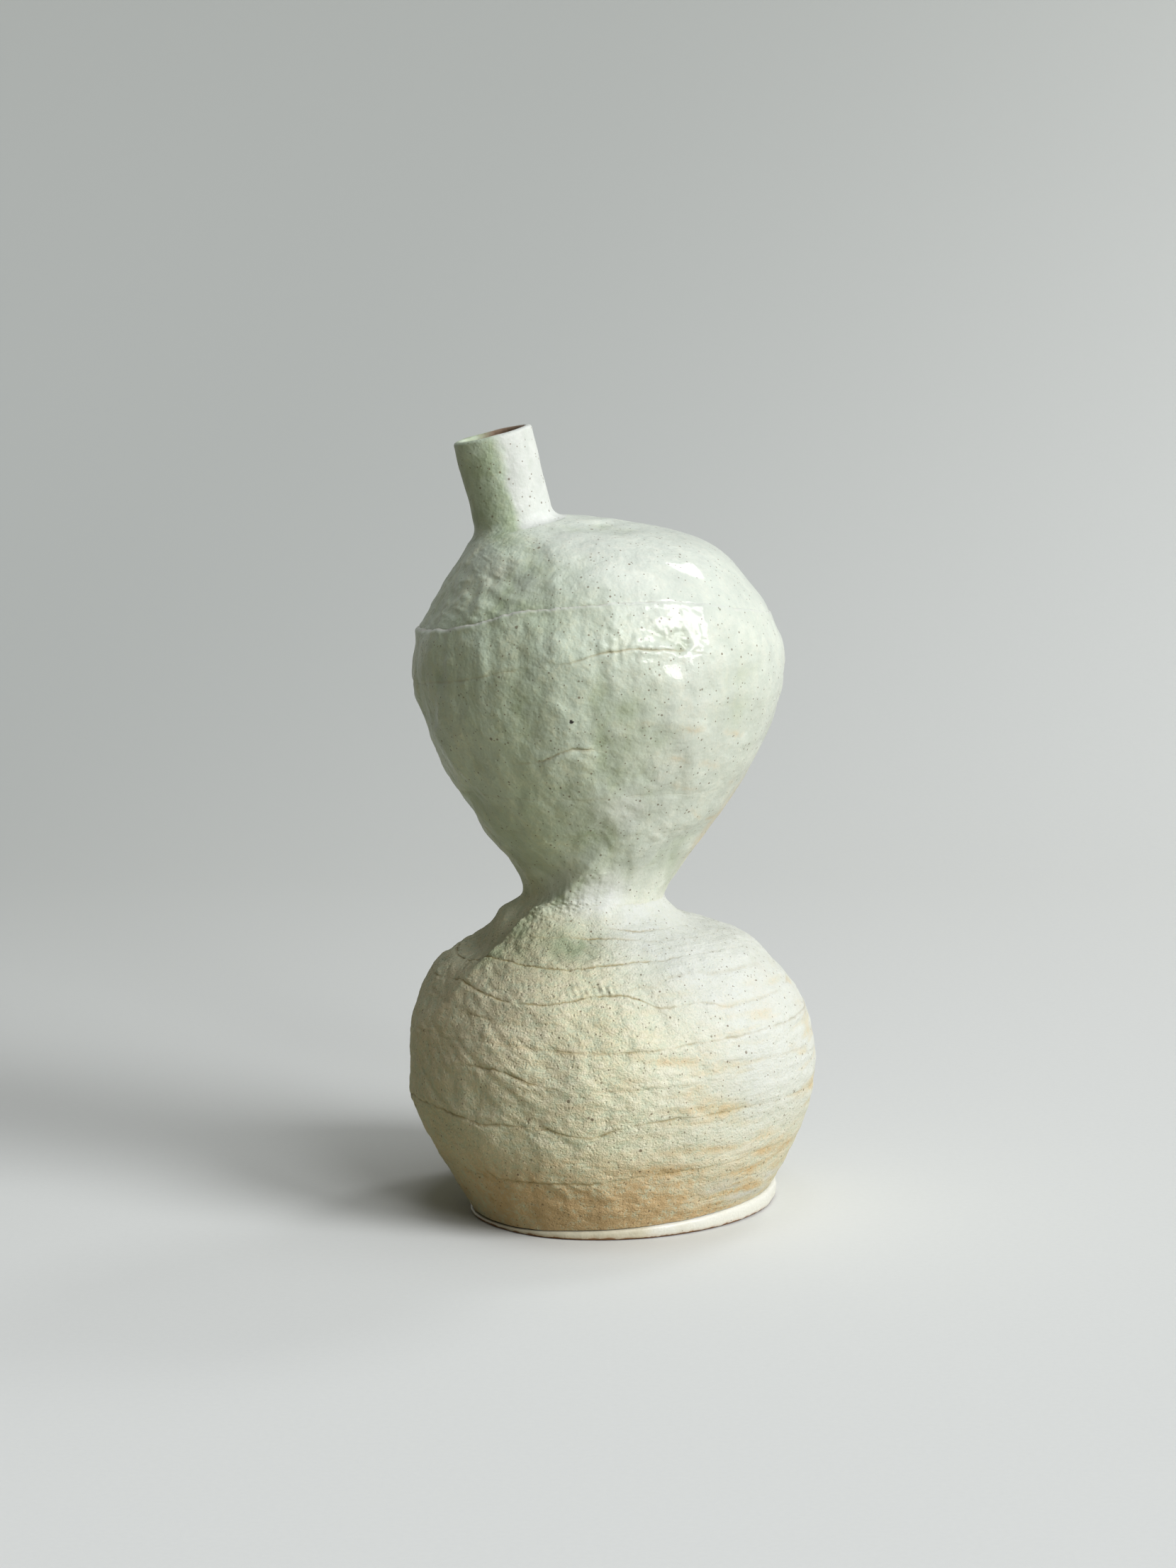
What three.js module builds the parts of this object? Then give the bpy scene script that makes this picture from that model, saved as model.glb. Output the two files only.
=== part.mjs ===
// Hourglass vase of glazed stoneware, built by hand from coils of clay on a flat foot slab.
// Millimetres, +Z up. The origin is the middle of the foot's underside, the spout leans to -X,
// and the vase faces -Y.

import * as THREE from 'three';
import { LoftGeometry } from 'three/addons/geometries/LoftGeometry.js';

const { degToRad } = THREE.MathUtils;

// Foot slab, a flat oval disc
const FOOT_RADIUS = 71;
const FOOT_THICKNESS = 7;
const FOOT_EDGE_ROUNDING = 2;
const FOOT_OVAL = 0.09;
const OVAL_TURN = degToRad(56);

// Lower bulb: its widest place above the floor, its oval, and how full it is beside that place
const LOWER_RADIUS = 92.5;
const LOWER_HEIGHT = 64;
const LOWER_OVAL = 0.025;
const LOWER_SHIFT = -4.5;
const FOOT_FLARE = 10;
const FOOT_RISE = 18;
const LOWER_FULLNESS_BELOW = 20;
const LOWER_FULLNESS_ABOVE = 59;

// Waist, at a height above the widest place of the lower bulb
const WAIST_RADIUS = 31;
const WAIST_ABOVE_LOWER = 76;
const WAIST_SHIFT = -10.5;
const WAIST_TIGHTNESS_BELOW = 9;
const WAIST_TIGHTNESS_ABOVE = 10;

// Upper bulb: its widest place, at a height above the waist
const UPPER_RADIUS = 82;
const UPPER_ABOVE_WAIST = 105;
const UPPER_SHIFT = -9.5;
const UPPER_FULLNESS_BELOW = 46;

// Crown: the dome from the widest place of the upper bulb up and in to the root of the spout.
// Its rise and reach are shares of the way in, and its drop is the slope at the root. It is
// flatter and reaches further on the side that the spout leans away from.
const CROWN_HEIGHT = 59.5;
const CROWN_RISE = 0.43;
const CROWN_RISE_SKEW = -0.16;
const CROWN_REACH = 0.45;
const CROWN_REACH_SKEW = 0.41;
const CROWN_DROP = 0.05;

// Spout, a leaning tube on the crown
const SPOUT_RADIUS = 17.5;
const SPOUT_LENGTH = 41.5;
const SPOUT_LEAN = degToRad(14);
const SPOUT_ROOT_X = -46.5;
const SPOUT_WALL = 4;
const SPOUT_FLARE = 0.8;
const SPOUT_FLARE_HEIGHT = 4;
const LIP_ROUNDING = 1.4;

// Clay wall and the joints between coils
const WALL = 6;
const LOWER_COILS = 9;
const UPPER_COILS = 7;
const COIL_TAPER = 0.3;
const SHOULDER_RISE = 21;
const LAP = 4;
const SLIP_GAP = 0.3;
const LOWER_SEAM_LEAN = 4;
const UPPER_SEAM_LEAN = 10;
const SEAM_LEAN_TURN = degToRad(-60);

// Fineness of the facets
const SIDES = 40;
const ROWS_PER_COIL = 2;
const CROWN_ROWS = 6;

// Gloss of the two halves
const SATIN_ROUGHNESS = 0.5;
const GLOSSY_ROUGHNESS = 0.3;

const waistHeight = LOWER_HEIGHT + WAIST_ABOVE_LOWER;
const upperHeight = waistHeight + UPPER_ABOVE_WAIST;
const rootHeight = upperHeight + CROWN_HEIGHT;
const spoutBore = SPOUT_RADIUS - SPOUT_WALL;

const angles = Array.from({ length: SIDES }, (_, i) => (2 * Math.PI * i) / SIDES);

// Outline of the wall from the foot slab to the widest place of the upper bulb.
// Each point holds a radius, the shift of the ring's middle along X, and a height.
const outlineStart = new THREE.Vector3(FOOT_RADIUS, 0, FOOT_THICKNESS);
const lowerWidest = new THREE.Vector3(LOWER_RADIUS, LOWER_SHIFT, LOWER_HEIGHT);
const waist = new THREE.Vector3(WAIST_RADIUS, WAIST_SHIFT, waistHeight);
const upperWidest = new THREE.Vector3(UPPER_RADIUS, UPPER_SHIFT, upperHeight);

function raised(point, height, flare = 0) {
  return point.clone().add(new THREE.Vector3(flare, 0, height));
}

const lowerCurves = [
  new THREE.CubicBezierCurve3(
    outlineStart, raised(outlineStart, FOOT_RISE, FOOT_FLARE),
    raised(lowerWidest, -LOWER_FULLNESS_BELOW), lowerWidest),
  new THREE.CubicBezierCurve3(
    lowerWidest, raised(lowerWidest, LOWER_FULLNESS_ABOVE),
    raised(waist, -WAIST_TIGHTNESS_BELOW), waist),
];
const upperCurve = new THREE.CubicBezierCurve3(
  waist, raised(waist, WAIST_TIGHTNESS_ABOVE),
  raised(upperWidest, -UPPER_FULLNESS_BELOW), upperWidest);

const outline = new THREE.CurvePath();
outline.curves.push(...lowerCurves, upperCurve);
const lowerLength = lowerCurves[0].getLength() + lowerCurves[1].getLength();
const outlineLength = outline.getLength();

// The ring is oval at the foot, less so at the lower bulb, and round from the waist up.
function ovalAt(height) {
  if (height < LOWER_HEIGHT) {
    return THREE.MathUtils.mapLinear(height, 0, LOWER_HEIGHT, FOOT_OVAL, LOWER_OVAL);
  }
  return LOWER_OVAL * (1 - THREE.MathUtils.smoothstep(height, LOWER_HEIGHT, waistHeight));
}

function ringPoint(radius, shift, height, angle) {
  const oval = ovalAt(height);
  const turned = angle - OVAL_TURN;
  const long = radius * (1 + oval) * Math.cos(turned);
  const short = radius * (1 - oval) * Math.sin(turned);
  const x = shift + long * Math.cos(OVAL_TURN) - short * Math.sin(OVAL_TURN);
  const y = long * Math.sin(OVAL_TURN) + short * Math.cos(OVAL_TURN);
  return new THREE.Vector3(x, y, height);
}

// Frame of the spout: points at a distance along its axis and a radius from it
const spoutRoot = new THREE.Vector3(SPOUT_ROOT_X, 0, rootHeight);
const spoutTilt = new THREE.Quaternion().setFromAxisAngle(new THREE.Vector3(0, 1, 0), -SPOUT_LEAN);

function spoutPoint(radius, along, angle) {
  const local = new THREE.Vector3(radius * Math.cos(angle), radius * Math.sin(angle), along);
  return local.applyQuaternion(spoutTilt).add(spoutRoot);
}

// One line up the crown, from the widest place of the upper bulb to the root of the spout
function crownLine(angle) {
  const start = ringPoint(UPPER_RADIUS, UPPER_SHIFT, upperHeight, angle);
  const end = spoutPoint(SPOUT_RADIUS + SPOUT_FLARE, 0, angle);
  const inward = Math.hypot(end.x - start.x, end.y - start.y);
  const reach = inward * (CROWN_REACH + CROWN_REACH_SKEW * Math.cos(angle));
  const rise = inward * (CROWN_RISE + CROWN_RISE_SKEW * Math.cos(angle));
  const startHandle = raised(start, rise);
  const outward = new THREE.Vector3(Math.cos(angle), Math.sin(angle), -CROWN_DROP);
  const endHandle = end.clone().addScaledVector(outward, reach);
  return new THREE.CubicBezierCurve3(start, startHandle, endHandle, end);
}

function crownTop(angle) {
  return outlineLength + crownLine(angle).getLength();
}

// Outer face of the wall at a distance up it from the foot slab, as measured on the clay
function wallPoint(along, angle) {
  if (along <= outlineLength) {
    const share = THREE.MathUtils.clamp(along / outlineLength, 0, 1);
    const place = outline.getPoint(share) ?? upperWidest;
    return ringPoint(place.x, place.y, place.z, angle);
  }
  const line = crownLine(angle);
  return line.getPointAt(Math.min((along - outlineLength) / line.getLength(), 1));
}

function wallNormal(along, angle) {
  const step = 0.5;
  const turn = 0.01;
  const up = wallPoint(along + step, angle).sub(wallPoint(along - step, angle));
  const round = wallPoint(along, angle + turn).sub(wallPoint(along, angle - turn));
  return round.cross(up).normalize();
}

// A ring of points at a distance up the wall, which may differ round it, and a depth in the clay
function wallRing(alongAt, depth = 0) {
  return angles.map((angle) => {
    const along = alongAt(angle);
    return wallPoint(along, angle).addScaledVector(wallNormal(along, angle), -depth);
  });
}

// Seams between the coils, counted from the foot: the coils narrow up the lower bulb, are even
// on the upper bulb, and the seams lean a little, as coils laid by eye do.
const seamCount = LOWER_COILS + UPPER_COILS;

function seamMiddle(index) {
  if (index <= LOWER_COILS) {
    const share = index / LOWER_COILS;
    return lowerLength * share * (1 + COIL_TAPER * (1 - share));
  }
  const upperLength = outlineLength - lowerLength + SHOULDER_RISE;
  return lowerLength + (upperLength * (index - LOWER_COILS)) / UPPER_COILS;
}

function seamLean(index) {
  if (index <= LOWER_COILS) {
    return LOWER_SEAM_LEAN * Math.sin((Math.PI * index) / LOWER_COILS);
  }
  return (UPPER_SEAM_LEAN * (index - LOWER_COILS)) / UPPER_COILS;
}

function seamAt(index, angle) {
  return seamMiddle(index) + seamLean(index) * Math.cos(angle - SEAM_LEAN_TURN);
}

// Each joint is a lap: the seam lies higher on the inner face than on the outer one.
function lapAt(index) {
  return index === 0 ? 0 : LAP;
}

// Rings of one face of a coil, from its lower seam to its upper one
function coilFace(index, depth) {
  const rings = [];
  for (let row = 0; row <= ROWS_PER_COIL; row += 1) {
    const share = row / ROWS_PER_COIL;
    const inside = depth / WALL;
    rings.push(wallRing((angle) => {
      const low = seamAt(index, angle) + inside * lapAt(index) + SLIP_GAP / 2;
      const high = seamAt(index + 1, angle) + inside * lapAt(index + 1) - SLIP_GAP / 2;
      return THREE.MathUtils.lerp(low, high, share);
    }, depth));
  }
  return rings;
}

function closedLoft(outerRings, innerRings) {
  return new LoftGeometry([...outerRings, ...innerRings.reverse(), outerRings[0]]);
}

function coilGeometry(index) {
  const outer = coilFace(index, 0);
  const inner = coilFace(index, WALL);
  if (index === 0) {
    [outer[0], inner[0]].forEach((ring) => ring.forEach((point) => {
      point.z = FOOT_THICKNESS + SLIP_GAP;
    }));
  }
  return closedLoft(outer, inner);
}

function footGeometry() {
  const edge = FOOT_EDGE_ROUNDING;
  const rings = [
    [FOOT_RADIUS - edge, 0],
    [FOOT_RADIUS, edge],
    [FOOT_RADIUS, FOOT_THICKNESS - edge / 2],
    [FOOT_RADIUS - edge / 2, FOOT_THICKNESS],
  ].map(([radius, height]) => angles.map((angle) => ringPoint(radius, 0, height, angle)));
  return new LoftGeometry(rings, { capStart: true, capEnd: true });
}

// The crown sits in the lap of the last coil, and ends in a land round its hole for the spout.
function crownGeometry() {
  const outer = [];
  const inner = [];
  for (let row = 0; row <= CROWN_ROWS; row += 1) {
    const share = row / CROWN_ROWS;
    outer.push(wallRing((angle) => THREE.MathUtils.lerp(
      seamAt(seamCount, angle) + SLIP_GAP / 2, crownTop(angle), share)));
    if (row < CROWN_ROWS) {
      inner.push(wallRing((angle) => THREE.MathUtils.lerp(
        seamAt(seamCount, angle) + LAP + SLIP_GAP / 2, crownTop(angle), share), WALL));
    }
  }
  inner.push(angles.map((angle) => spoutPoint(spoutBore, -WALL, angle)));
  inner.push(angles.map((angle) => spoutPoint(spoutBore, 0, angle)));
  return closedLoft(outer, inner);
}

function spoutGeometry() {
  const round = LIP_ROUNDING;
  const ringsOf = (places) => places.map(([radius, along]) =>
    angles.map((angle) => spoutPoint(radius, along, angle)));
  const outer = ringsOf([
    [SPOUT_RADIUS + SPOUT_FLARE, SLIP_GAP],
    [SPOUT_RADIUS, SPOUT_FLARE_HEIGHT],
    [SPOUT_RADIUS, SPOUT_LENGTH - round],
    [SPOUT_RADIUS - round, SPOUT_LENGTH],
  ]);
  const inner = ringsOf([
    [spoutBore, SLIP_GAP],
    [spoutBore, SPOUT_LENGTH - round],
    [spoutBore + round, SPOUT_LENGTH],
  ]);
  return closedLoft(outer, inner);
}

// Finishes: a white rim on the foot, toasted clay just above it, a sandy green-grey lower bulb
// and a smoother pale celadon above, each passing into the next over two coils
const BLEND_COILS = 2;
const WHITE_GLAZE = new THREE.Color(0xdfe1d6);
const TOASTED_GLAZE = new THREE.Color(0xc9b796);
const SANDY_GLAZE = new THREE.Color(0xc3c3a9);
const CELADON_GLAZE = new THREE.Color(0xccd3c3);

const vase = new THREE.Group();

function addPiece(name, geometry, color, roughness) {
  const material = new THREE.MeshStandardMaterial({ color, roughness, metalness: 0 });
  const piece = new THREE.Mesh(geometry, material);
  piece.name = name;
  vase.add(piece);
}

addPiece('foot_slab', footGeometry(), WHITE_GLAZE, GLOSSY_ROUGHNESS);

for (let coil = 0; coil < LOWER_COILS; coil += 1) {
  const color = TOASTED_GLAZE.clone().lerp(SANDY_GLAZE, Math.min(1, coil / BLEND_COILS));
  addPiece(`lower_coil_${coil + 1}`, coilGeometry(coil), color, SATIN_ROUGHNESS);
}

for (let coil = 0; coil < UPPER_COILS; coil += 1) {
  const color = SANDY_GLAZE.clone().lerp(CELADON_GLAZE, Math.min(1, coil / BLEND_COILS));
  addPiece(`upper_coil_${coil + 1}`, coilGeometry(LOWER_COILS + coil), color, GLOSSY_ROUGHNESS);
}

addPiece('crown', crownGeometry(), CELADON_GLAZE, GLOSSY_ROUGHNESS);
addPiece('spout', spoutGeometry(), CELADON_GLAZE, GLOSSY_ROUGHNESS);

export default vase;
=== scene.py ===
import math

import bmesh
import bpy
import numpy as np
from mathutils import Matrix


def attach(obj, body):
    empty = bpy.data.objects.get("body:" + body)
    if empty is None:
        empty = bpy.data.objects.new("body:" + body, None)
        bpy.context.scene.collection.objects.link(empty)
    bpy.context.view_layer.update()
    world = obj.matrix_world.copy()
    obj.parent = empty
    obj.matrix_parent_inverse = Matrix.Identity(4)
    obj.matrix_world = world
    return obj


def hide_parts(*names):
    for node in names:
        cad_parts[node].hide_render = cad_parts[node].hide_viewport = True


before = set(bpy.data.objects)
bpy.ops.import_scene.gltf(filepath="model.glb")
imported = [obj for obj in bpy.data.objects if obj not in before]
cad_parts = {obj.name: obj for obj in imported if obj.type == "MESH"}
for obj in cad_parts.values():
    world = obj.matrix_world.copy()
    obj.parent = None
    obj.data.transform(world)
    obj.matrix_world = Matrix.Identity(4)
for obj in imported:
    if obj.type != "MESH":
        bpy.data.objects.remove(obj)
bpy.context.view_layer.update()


# Foot slab: the flat oval disc of rolled stoneware that the vase stands on. Its edge is dipped
# in white glaze and wiped below, so a thin line of bare brown clay shows just above the table.
def tone(red, green, blue):
    """A colour as it is seen, 0 to 255, for a shader."""
    return tuple((c / 255 / 12.92 if c < 10.3 else ((c / 255 + 0.055) / 1.055) ** 2.4)
                 for c in (red, green, blue)) + (1.0,)


MM = 0.001
COLUMNS = 640
FOOT_RADIUS = 71.0
FOOT_THICKNESS = 7.0
FOOT_OVAL = 0.09
OVAL_TURN = math.radians(56)
LOWER_HEIGHT = 64.0
LOWER_OVAL = 0.025
WAIST_HEIGHT = 140.0
RIM_WHITE = tone(219, 220, 213)
RIM_CREAM = tone(200, 195, 174)
RIM_THIN = tone(176, 140, 96)
RIM_SPECK = tone(120, 92, 62)
BARE_CLAY = tone(128, 92, 58)
# Radius at which the slab's edge begins, and how wide it eases in
RIM_START = 62.0
RIM_EASE = 6.0
# Height of the slab's glazed edge round the vase, in degrees and millimetres: the wall above is
# smeared down over it on the left.
FOOT_JOINT = [
    (-180, 1.8), (-128, 2.4), (-116, 3.1), (-103, 4.2), (-90, 5), (-70, 5.9), (-56, 6.6), (-40, 7.5),
    (-12, 8), (30, 7.6), (90, 7), (140, 4.8)]

column_angle = np.arange(COLUMNS) * 2 * math.pi / COLUMNS


def lumpy(points, size, seed):
    """Soft lumps from about -1 to 1, each about size millimetres across."""
    rng = np.random.default_rng(seed)
    order = rng.permutation(256)
    slopes = rng.normal(size=(256, 3))
    slopes /= np.linalg.norm(slopes, axis=1, keepdims=True)
    cell = np.floor(points / size).astype(int)
    part = points / size - cell
    ease = part ** 3 * (part * (part * 6 - 15) + 10)
    total = 0
    for corner in np.ndindex(2, 2, 2):
        x, y, z = ((cell + corner) & 255).T
        slope = slopes[order[(order[(order[x] + y) & 255] + z) & 255]]
        weight = np.prod(np.where(corner, ease, 1 - ease), axis=1)
        total = total + weight * (slope * (part - corner)).sum(axis=1)
    return total * 1.7


def eased(places, where, soften, period=None):
    """A value given at a few places, eased between them."""
    at, value = np.array(places, float).T
    return sum(np.interp(where + shift, at, value, period=period)
               for shift in np.linspace(-soften, soften, 5)) / 5


def held(value):
    """A value kept from 0 to 1."""
    return np.clip(value, 0, 1)


def round_the_vase(places, angle):
    """A value given at a few angles in degrees, eased between them all round."""
    return eased(places, np.degrees(angle), 3.0, 360)


def degrees_round(angle, middle=0.0):
    """Degrees from a middle direction, from -180 to 180."""
    return (np.degrees(angle) - middle + 180) % 360 - 180


def hump(off, spread, power=2):
    """1 where nothing is off, falling to 0 beyond the spread."""
    return np.exp(-np.abs(off / spread) ** power)


def facing(angle, middle, wide, power=4):
    """1 in a direction given in degrees, falling off to 0 round the vase."""
    return hump(degrees_round(angle, middle), wide, power)


def ringed(angle, radius, rise):
    """Points on a ring round the axis."""
    return np.stack([np.cos(angle) * radius, np.sin(angle) * radius, rise + 0 * angle], axis=1)


def oval_at(height):
    below = FOOT_OVAL + (LOWER_OVAL - FOOT_OVAL) * height / LOWER_HEIGHT
    share = held((height - LOWER_HEIGHT) / (WAIST_HEIGHT - LOWER_HEIGHT))
    return np.where(height < LOWER_HEIGHT, below, LOWER_OVAL * (1 - share ** 2 * (3 - 2 * share)))


def oval_ring(radius, shift, height, angle):
    oval = oval_at(height)
    long = radius * (1 + oval) * np.cos(angle - OVAL_TURN)
    short = radius * (1 - oval) * np.sin(angle - OVAL_TURN)
    return np.stack([shift + long * math.cos(OVAL_TURN) - short * math.sin(OVAL_TURN),
                     long * math.sin(OVAL_TURN) + short * math.cos(OVAL_TURN),
                     height + 0 * angle], axis=-1)


def meshed(bm, name):
    bmesh.ops.recalc_face_normals(bm, faces=bm.faces)
    mesh = bpy.data.meshes.new(name)
    bm.to_mesh(mesh)
    bm.free()
    return mesh


def spun(name, section, disc=False):
    """A ring or disc of clay, spun from a section of (radius, height) points."""
    bm = bmesh.new()
    bmesh.ops.create_circle(bm, radius=section[0][0], segments=COLUMNS)
    bmesh.ops.translate(bm, vec=(0, 0, section[0][1]), verts=bm.verts)
    first = edges = list(bm.edges)
    for (radius, height), (next_radius, next_height) in zip(section, section[1:]):
        drawn = bmesh.ops.extrude_edge_only(bm, edges=edges)["geom"]
        verts = [part for part in drawn if isinstance(part, bmesh.types.BMVert)]
        edges = [part for part in drawn if isinstance(part, bmesh.types.BMEdge)]
        share = next_radius / radius
        bmesh.ops.scale(bm, vec=(share, share, 1), verts=verts)
        bmesh.ops.translate(bm, vec=(0, 0, next_height - height), verts=verts)
    if disc:
        bmesh.ops.holes_fill(bm, edges=first + edges)
    else:
        bmesh.ops.bridge_loops(bm, edges=first + edges)
    return meshed(bm, name)


def spun_places(mesh):
    """Radius, height and column of each vertex of a spun ring."""
    place = np.empty(len(mesh.vertices) * 3)
    mesh.vertices.foreach_get("co", place)
    x, y, z = place.reshape(-1, 3).T
    column = np.rint(np.arctan2(y, x) / (2 * math.pi) * COLUMNS).astype(int) % COLUMNS
    return np.hypot(x, y), z, column


def placed(name, data):
    item = bpy.data.objects.new(name, data)
    bpy.context.scene.collection.objects.link(item)
    return item


def finished(mesh, points, marks, finish, node):
    """Shapes a mesh, with the marks that its glaze reads, and puts it in place of a CAD node."""
    mesh.vertices.foreach_set("co", (points * MM).astype(np.float32).ravel())
    for mark, amount in marks.items():
        layer = mesh.attributes.new(mark, "FLOAT", "POINT")
        layer.data.foreach_set("value", np.asarray(amount, np.float32))
    mesh.shade_smooth()
    mesh.set_sharp_from_angle(angle=math.radians(50))
    mesh.materials.append(finish)
    mesh.update()
    piece = placed(mesh.name, mesh)
    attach(piece, "root")
    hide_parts(node)


class Glaze:
    """A socket of a material, with arithmetic that adds Math nodes."""

    def __init__(self, tree, socket=None):
        self.tree = tree
        self.socket = socket

    def node(self, kind, settings=None, inputs=None, output=0):
        made = self.tree.nodes.new("ShaderNode" + kind)
        for key, value in (settings or {}).items():
            setattr(made, key, value)
        for key, value in (inputs or {}).items():
            if isinstance(value, Glaze):
                self.tree.links.new(value.socket, made.inputs[key])
            else:
                made.inputs[key].default_value = value
        return Glaze(self.tree, made.outputs[output]) if made.outputs else made

    def math(self, operation, *values):
        return self.node("Math", {"operation": operation}, dict(enumerate(values)))

    def __add__(self, other):
        return self.math("ADD", self, other)

    __radd__ = __add__

    def __sub__(self, other):
        return self.math("SUBTRACT", self, other)

    def __rsub__(self, other):
        return self.math("SUBTRACT", other, self)

    def __mul__(self, other):
        return self.math("MULTIPLY", self, other)

    __rmul__ = __mul__

    def clipped(self):
        return self.node("Clamp", inputs={"Value": self})

    def between(self, low, high):
        """0 below low and 1 above high, with a smooth step between."""
        return self.node("MapRange", {"interpolation_type": "SMOOTHSTEP"},
                         {"Value": self, "From Min": low, "From Max": high})

    def blended(self, first, second):
        """The first colour passing into the second as this value rises to 1."""
        return self.node("Mix", {"data_type": "RGBA"}, {0: self, 6: first, 7: second}, 2)

    def mixed(self, share, other):
        """This colour passing into another one."""
        return share.blended(self, other)

    def part(self, axis):
        """One coordinate of a place."""
        return self.node("SeparateXYZ", inputs={"Vector": self}, output=axis)

    def noise(self, scale, detail=4.0, rough=0.6):
        """Clouds over a place, of about 1 / scale millimetres."""
        inputs = {"Vector": self, "Scale": scale, "Detail": detail, "Roughness": rough}
        return self.node("TexNoise", inputs=inputs)

    def into(self, shader, name):
        self.tree.links.new(self.socket, shader.inputs[name])

    def shaded(self, amount):
        """This colour made lighter or darker by a value round 1."""
        grey = self.node("CombineColor", inputs={"Red": amount, "Green": amount, "Blue": amount})
        return self.node("Mix", {"data_type": "RGBA", "blend_type": "MULTIPLY"},
                         {0: 1.0, 6: self, 7: grey}, 2)


def new_finish(name):
    """An empty material, its shader, and where its patterns lie: object coordinates in millimetres."""
    material = bpy.data.materials.new(name)
    material.use_nodes = True
    tree = material.node_tree
    start = Glaze(tree)
    place = start.node("TexCoord", output=3)
    place = start.node("VectorMath", {"operation": "SCALE"}, {"Vector": place, "Scale": 1000.0})
    return material, tree.nodes["Principled BSDF"], place


def speckle(place, spacing, size, rarity):
    """Iron specks: dots of about size millimetres, one in rarity cells of the spacing."""
    inputs = {"Vector": place, "Scale": 1 / spacing}
    near = place.node("TexVoronoi", inputs=inputs)
    pick = place.node("TexVoronoi", inputs=inputs, output=1)
    pick = place.node("SeparateColor", inputs={"Color": pick})
    inside = 1 - near.between(size / spacing * 0.35, size / spacing * 0.6)
    return inside * pick.between(1 - 1.06 / rarity, 1 - 0.94 / rarity)


def rim_glaze():
    material, shader, place = new_finish("white_rim_glaze")
    height, right = place.part(2), place.part(0).between(-25, 55)
    cloud, ragged, grain = (place.noise(*kind, 0.5) for kind in ((0.05, 4.0), (0.22, 5.0), (0.9, 3.0)))
    bare = 1 - (height + (ragged - 0.5) * 2.6).between(0.75, 1.15)
    thin = 1 - (height + (ragged - 0.5) * 3.0).between(0.9, 2.6)
    # White towards the lit right and cream towards the shaded left: painted light and painted shade over real
    # cloudy patches of cream.
    colour = (cloud - right * 0.62).between(0.0, 0.45).blended(RIM_WHITE, RIM_CREAM)
    colour = colour.mixed(thin * 0.3, RIM_THIN)
    colour = colour.mixed(speckle(place, 7.0, 0.8, 3.0) * 0.5, RIM_SPECK)
    colour = colour.mixed(bare, BARE_CLAY).shaded(0.9 + grain * 0.2)
    rough = 0.38 + bare * 0.45
    bump = place.node("Bump", inputs={"Strength": 0.35, "Distance": 0.0004, "Height": grain + ragged * 2.0})
    colour.into(shader, "Base Color")
    rough.into(shader, "Roughness")
    bump.into(shader, "Normal")
    return material


foot_section = [
    (4, 0), (20, 0), (45, 0), (60, 0), (68.2, 0), (69.6, 0.15), (70.4, 0.5), (70.8, 1.1), (71, 1.9),
    (71.1, 2.8), (71.2, 3.6), (71.2, 4.4), (71.1, 5.2), (70.9, 5.9), (70.4, 6.5), (69.5, 6.9), (68.2, 7),
    (62, 7), (30, 7), (4, 7)]
foot_mesh = spun("foot_slab_glazed", foot_section, disc=True)
radius, height, column = spun_places(foot_mesh)
angle = column_angle[column]
joint = round_the_vase(FOOT_JOINT, column_angle)[column]
edge = held((radius - RIM_START) / RIM_EASE)
covered = held((7 - joint) / 4.8)
height = height * (1 - edge) + height * joint / FOOT_THICKNESS * edge
fuller = 1.6 * facing(angle, -15, 42, 2)
ring = oval_ring(radius + (fuller - 2.0 * covered) * edge, 0.0, height, angle)
wobble = lumpy(ring, 24, 3) * 0.5 + lumpy(ring, 7, 4) * 0.18
outward = ring * (1, 1, 0) / np.maximum(radius, 1)[:, None]
ring = ring + outward * (wobble * edge)[:, None]
ring[:, 2] = np.maximum(ring[:, 2] + wobble * 0.3 * (height > 0.2) * edge, 0)
finished(foot_mesh, ring, {}, rim_glaze(), "foot_slab")


# Lower bulb: nine coils of coarse stoneware laid up from the slab, lapped over one another, pinched
# and scraped. Each seam shows where it was not smeared shut. The glaze on it is thin, dry and sandy,
# toasted to tan above the foot.
LOWER_RADIUS = 92.5
LOWER_SHIFT = -4.5
WAIST_RADIUS = 31.0
WAIST_SHIFT = -10.5
UPPER_RADIUS = 82.0
UPPER_HEIGHT = 245.0
UPPER_SHIFT = -9.5
LOWER_COILS = 9
UPPER_COILS = 7
COIL_TAPER = 0.3
SHOULDER_RISE = 21.0
WALL = 6.0
LAP = 4.0
LOWER_LEAN = 4.0
UPPER_LEAN = 10.0
LOWER_ROWS = 30
LEAN_TURN = math.radians(60)
TABLE_STEP = 0.5
TABLE_START = -8.0
BELOW_FOOT = 10.0


def bezier(points, share):
    share = np.asarray(share)[..., None]
    a, b, c, d = points
    rest = 1 - share
    return rest ** 3 * a + 3 * rest ** 2 * share * b + 3 * rest * share ** 2 * c + share ** 3 * d


def lengths(points):
    steps = np.linalg.norm(np.diff(points, axis=0), axis=-1)
    return np.concatenate([np.zeros_like(steps[:1]), np.cumsum(steps, axis=0)])


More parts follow.
